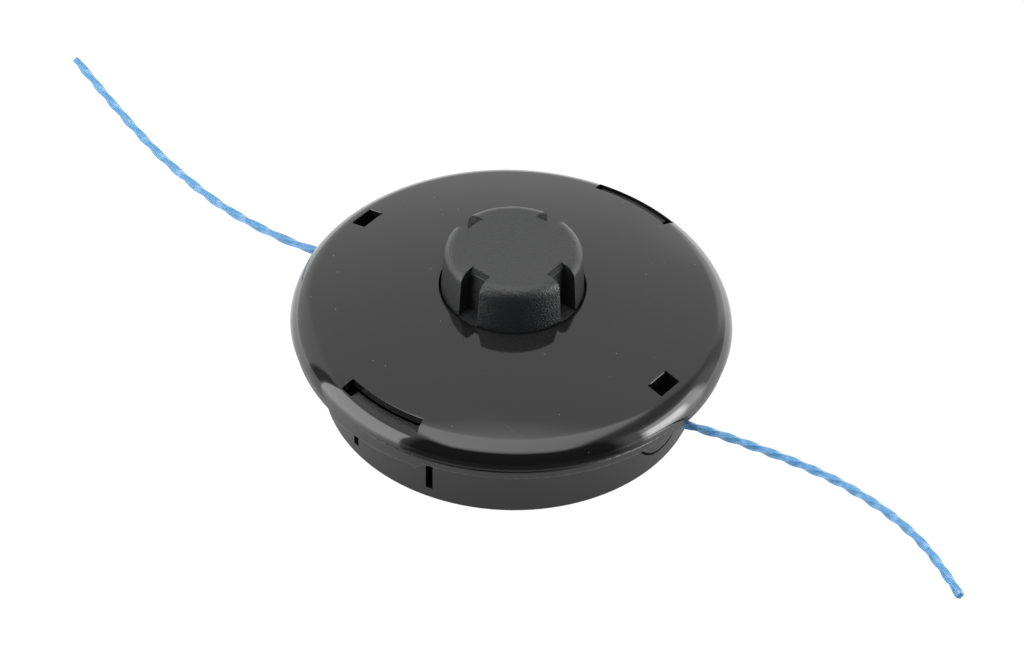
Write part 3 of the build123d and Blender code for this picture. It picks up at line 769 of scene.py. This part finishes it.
draft_angle = math.degrees(math.atan2(knob_base_r - knob_top_r, knob_top - notch_low))
knob_round = knob_top_r - knob_flat_r
round_centre_z = knob_top - knob_round
tapped_knob = turned_piece("tapped_knob", (0, knob_top), [
    ("line", knob_flat_r, knob_top),
    ("arc", knob_flat_r, round_centre_z, draft_angle - 90, 16),
    ("line", knob_base_r, notch_low),
    ("line", knob_base_r, flange_top),
    ("line", flange_r, flange_top),
    ("line", flange_r, knob_base),
    ("line", spigot_outer, knob_base),
    ("line", spigot_outer, spigot_low),
    ("line", spigot_inner, spigot_low),
    ("line", spigot_inner, knob_base),
    ("line", cavity_r, knob_base),
    ("line", cavity_r, knob_roof_low),
    ("line", 0, knob_roof_low),
], knob_steps)
for i in range(snap_count):
    snap = ring_block(
        spigot_outer - snap_root, snap_outer, 360 / snap_count * i, snap_half_angle,
        spigot_low, snap_top, cuts=3,
    )
    combine(tapped_knob, snap, "UNION")
to_bevel = Matrix.Translation((notch_floor - notch_bevel / 2, 0, knob_top - notch_bevel / 2))
for i in range(notch_count):
    to_notch = Matrix.Rotation(math.radians(360 / notch_count * i), 4, "Z")
    cutter = block(
        (notch_floor, -notch_half, notch_low), (notch_cut_out, notch_half, notch_cut_top),
    )
    cutter.data.transform(to_notch)
    combine(tapped_knob, cutter, "DIFFERENCE")
    cutter = block(
        (0, -notch_half, -2 * notch_bevel), (2 * notch_bevel, notch_half, 2 * notch_bevel),
    )
    cutter.data.transform(to_notch @ to_bevel @ Matrix.Rotation(math.radians(-45), 4, "Y"))
    combine(tapped_knob, cutter, "DIFFERENCE")


def along_and_across(place):
    """A place as seen from the notch that it is nearest to: outwards, and to the side."""
    if abs(place.x) > abs(place.y):
        return abs(place.x), abs(place.y)
    return abs(place.y), abs(place.x)


def notch_side(place):
    """True where a notch's side meets the knob's outside or its top."""
    out, side = along_and_across(place)
    past_floor = out > notch_floor + clear_of_corner and place.z > notch_low + clear_of_corner
    return past_floor and abs(side - notch_half) < on_plane


soften(tapped_knob, notch_side, notch_round, segments=4)
smooth(tapped_knob)
ribs = []
for i in range(notch_count):
    to_notch = Matrix.Rotation(math.radians(360 / notch_count * i), 4, "Z")
    for j in range(rib_count):
        step = notch_bevel * ((j + 1) / (rib_count + 1) - 0.5)
        rib = block(
            (-rib_half_width, -rib_half_length, -rib_half_width),
            (rib_half_width, rib_half_length, rib_half_width),
        )
        rib.data.transform(to_notch @ to_bevel @ Matrix.Translation((step, 0, -step)))
        ribs.append(rib)
select_only(tapped_knob, *ribs)
bpy.ops.object.join()

knob_nylon, _, _ = grained_nylon(
    "knob_nylon", (0.009, 0.0095, 0.0105), gloss=0.40, gloss_spread=0.08,
    grains=1900, height=0.24 * mm, specks=420, share=0.10, edge_radius=0.06 * mm,
)
tapped_knob.data.materials.append(knob_nylon)
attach(tapped_knob, "spool_and_knob")
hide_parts("bump_knob")


# Studio
# A pale floor in a light tent that is open towards the camera, with a panel overhead and a soft box
# at each side. The floor's own colour is black and it glows in place of being lit: the camera sees
# it plain white, while other rays see a painted glow that fades out in front of the head and a
# painted contact shadow close round it. Directions are in degrees round the head, 0 to the right
# and 90 straight back. A panel has an azimuth, half its width, its low and high edge, its softness
# and its light.
floor_half = 6.0
floor_light = 1.3
far_floor_light = 0.1
near_floor = 0.075
far_floor = 0.155
shade_inner = 0.052
shade_outer = 0.092
shade = 0.45
tent_light = 1.22
overhead_light = 3.5
overhead_slope = -1.1
overhead_sides = (0.62, 0.45)
overhead_back = (0.40, 0.26)
overhead_front = (-0.98, -0.62)
overhead_least_rise = 0.05
front_azimuth = 273
front_half_width = 51
panels = (
    ("bright back left", 142, 20, -90, 42, 10, 1.5),
    ("bright back right", 60, 14, -90, 24, 8, 1.9),
    ("gap beside the right box", 33, 6, -90, 36, 5, 0.8),
    ("gap beside the left box", 167, 5, -90, 34, 3, 0.25),
    ("dark gap right", 355, 38, 33, 58, 14, 0.45),
    ("front opening", front_azimuth, front_half_width, -90, 48, 8, 0.0),
    ("soft box left", 196.5, 23.5, -10, 36, 1.2, 5.2),
    ("fill right", 355, 18, -10, 27, 5, 5.0),
    ("soft box right", 348, 12, -10, 15, 5, 13.0),
)

panel_mask, given, result = value_group(
    "panel_mask",
    {"Direction": (0.0, 0.0, 1.0), "Azimuth": 0.0, "Half width": 30.0,
     "Low": 0.0, "High": 40.0, "Edge": 3.0},
    {"Mask": "NodeSocketFloat"},
)
unit = joined_nodes(panel_mask, "ShaderNodeVectorMath", {
    0: given.outputs["Direction"],
}, operation="NORMALIZE")
split = joined_nodes(panel_mask, "ShaderNodeSeparateXYZ", {"Vector": unit.outputs["Vector"]})
turn = joined_nodes(panel_mask, "ShaderNodeMath", {
    0: split.outputs["Y"], 1: split.outputs["X"],
}, operation="ARCTAN2")
climb = joined_nodes(panel_mask, "ShaderNodeMath", {
    0: split.outputs["Z"],
}, operation="ARCSINE")
turn_degrees = joined_nodes(panel_mask, "ShaderNodeMath", {
    0: turn.outputs["Value"],
}, operation="DEGREES")
climb_degrees = joined_nodes(panel_mask, "ShaderNodeMath", {
    0: climb.outputs["Value"],
}, operation="DEGREES")
off = joined_nodes(panel_mask, "ShaderNodeMath", {
    0: turn_degrees.outputs["Value"], 1: given.outputs["Azimuth"],
}, operation="SUBTRACT")
wrapped = joined_nodes(panel_mask, "ShaderNodeMath", {
    0: off.outputs["Value"], 1: 180.0, 2: -180.0,
}, operation="WRAP")
side = joined_nodes(panel_mask, "ShaderNodeMath", {
    0: wrapped.outputs["Value"],
}, operation="ABSOLUTE")
parts = []
for first, second in (
    (given.outputs["Half width"], side.outputs["Value"]),
    (climb_degrees.outputs["Value"], given.outputs["Low"]),
    (given.outputs["High"], climb_degrees.outputs["Value"]),
):
    inside = joined_nodes(panel_mask, "ShaderNodeMath", {0: first, 1: second}, operation="SUBTRACT")
    ramp = joined_nodes(panel_mask, "ShaderNodeMath", {
        0: inside.outputs["Value"], 1: given.outputs["Edge"],
    }, operation="DIVIDE")
    parts.append(joined_nodes(panel_mask, "ShaderNodeMath", {
        0: ramp.outputs["Value"], 1: 0.5,
    }, operation="ADD", use_clamp=True))
pair = joined_nodes(panel_mask, "ShaderNodeMath", {
    0: parts[0].outputs["Value"], 1: parts[1].outputs["Value"],
}, operation="MULTIPLY")
all_three = joined_nodes(panel_mask, "ShaderNodeMath", {
    0: pair.outputs["Value"], 1: parts[2].outputs["Value"],
}, operation="MULTIPLY")
panel_mask.links.new(all_three.outputs["Value"], result.inputs["Mask"])


def panel(tree, towards, azimuth, half_width, low, high, edge):
    """Mask of one light panel, as seen in a direction."""
    node = joined_nodes(tree, "ShaderNodeGroup", node_tree=panel_mask, inputs={
        "Direction": towards, "Azimuth": azimuth + math.degrees(camera_azimuth),
        "Half width": half_width, "Low": low, "High": high, "Edge": edge,
    })
    return node.outputs["Mask"]


# Painted light: the floor is black and glows in place of being lit by the lamps.
bpy.ops.object.select_all(action="DESELECT")
bpy.ops.mesh.primitive_plane_add(size=2 * floor_half)
floor = bpy.context.object
floor.name = "floor"
glowing_floor, tree, shader = new_material("glowing_floor", (0.0, 0.0, 0.0), 0.1)
place = joined_nodes(tree, "ShaderNodeTexCoord")
distance = joined_nodes(tree, "ShaderNodeVectorMath", {
    0: place.outputs["Object"],
}, operation="LENGTH")
# Painted shade: in front of the head the floor's glow fades out further away.
falloff = joined_nodes(tree, "ShaderNodeMapRange", {
    "Value": distance.outputs["Value"], "From Min": near_floor, "From Max": far_floor,
    "To Min": floor_light, "To Max": far_floor_light,
})
in_front = panel(
    tree, place.outputs["Object"], front_azimuth, front_half_width, low=-90, high=90, edge=20,
)
lit = joined_nodes(tree, "ShaderNodeMix", {
    "Factor": in_front, "A": floor_light, "B": falloff.outputs["Result"],
}, data_type="FLOAT")
# Painted contact shadow: the floor's glow is dimmed close round the head.
beside = joined_nodes(tree, "ShaderNodeMapRange", {
    "Value": distance.outputs["Value"], "From Min": shade_inner, "From Max": shade_outer,
    "To Min": shade, "To Max": 1.0,
})
shaded = joined_nodes(tree, "ShaderNodeMath", {
    0: lit.outputs["Result"], 1: beside.outputs["Result"],
}, operation="MULTIPLY")
path = joined_nodes(tree, "ShaderNodeLightPath")
glow = joined_nodes(tree, "ShaderNodeMix", {
    "Factor": path.outputs["Is Camera Ray"], "A": shaded.outputs["Value"], "B": 1.0,
}, data_type="FLOAT")
shader.inputs["Emission Color"].default_value = (1, 1, 1, 1)
tree.links.new(glow.outputs["Result"], shader.inputs["Emission Strength"])
floor.data.materials.append(glowing_floor)

world = bpy.data.worlds.new("studio")
bpy.context.scene.world = world
world.use_nodes = True
tree = world.node_tree
background = tree.nodes["Background"]
background.inputs["Color"].default_value = (1, 1, 1, 1)
place = joined_nodes(tree, "ShaderNodeTexCoord")
light = tent_light
for name, azimuth, half_width, low, high, edge, brightness in panels:
    mask = panel(tree, place.outputs["Generated"], azimuth, half_width, low, high, edge)
    light = joined_nodes(tree, "ShaderNodeMix", {
        "Factor": mask, "A": light, "B": brightness,
    }, data_type="FLOAT", label=name).outputs["Result"]
split = joined_nodes(tree, "ShaderNodeSeparateXYZ", {"Vector": place.outputs["Generated"]})
rise = joined_nodes(tree, "ShaderNodeMath", {
    0: split.outputs["Z"], 1: overhead_least_rise,
}, operation="MAXIMUM")
on_ceiling = []
for axis in (to_right, Vector((0, 0, 1)).cross(to_right)):
    reach = joined_nodes(tree, "ShaderNodeVectorMath", {
        0: place.outputs["Generated"], 1: axis,
    }, operation="DOT_PRODUCT")
    on_ceiling.append(joined_nodes(tree, "ShaderNodeMath", {
        0: reach.outputs["Value"], 1: rise.outputs["Value"],
    }, operation="DIVIDE"))
across, along = on_ceiling
to_side = joined_nodes(tree, "ShaderNodeMath", {
    0: across.outputs["Value"],
}, operation="ABSOLUTE")
mask = None
for measure, (outside, inside) in (
    (to_side, overhead_sides), (along, overhead_back), (along, overhead_front),
):
    ramp = joined_nodes(tree, "ShaderNodeMapRange", {
        "Value": measure.outputs["Value"], "From Min": outside, "From Max": inside,
    }).outputs["Result"]
    mask = ramp if mask is None else joined_nodes(tree, "ShaderNodeMath", {
        0: mask, 1: ramp,
    }, operation="MULTIPLY").outputs["Value"]
brightness = joined_nodes(tree, "ShaderNodeMath", {
    0: across.outputs["Value"], 1: overhead_slope, 2: overhead_light,
}, operation="MULTIPLY_ADD")
light = joined_nodes(tree, "ShaderNodeMix", {
    "Factor": mask, "A": light, "B": brightness.outputs["Value"],
}, data_type="FLOAT").outputs["Result"]
path = joined_nodes(tree, "ShaderNodeLightPath")
light = joined_nodes(tree, "ShaderNodeMix", {
    "Factor": path.outputs["Is Camera Ray"], "A": light, "B": 1.0,
}, data_type="FLOAT")
tree.links.new(light.outputs["Result"], background.inputs["Strength"])

bpy.context.scene.view_settings.view_transform = "Standard"
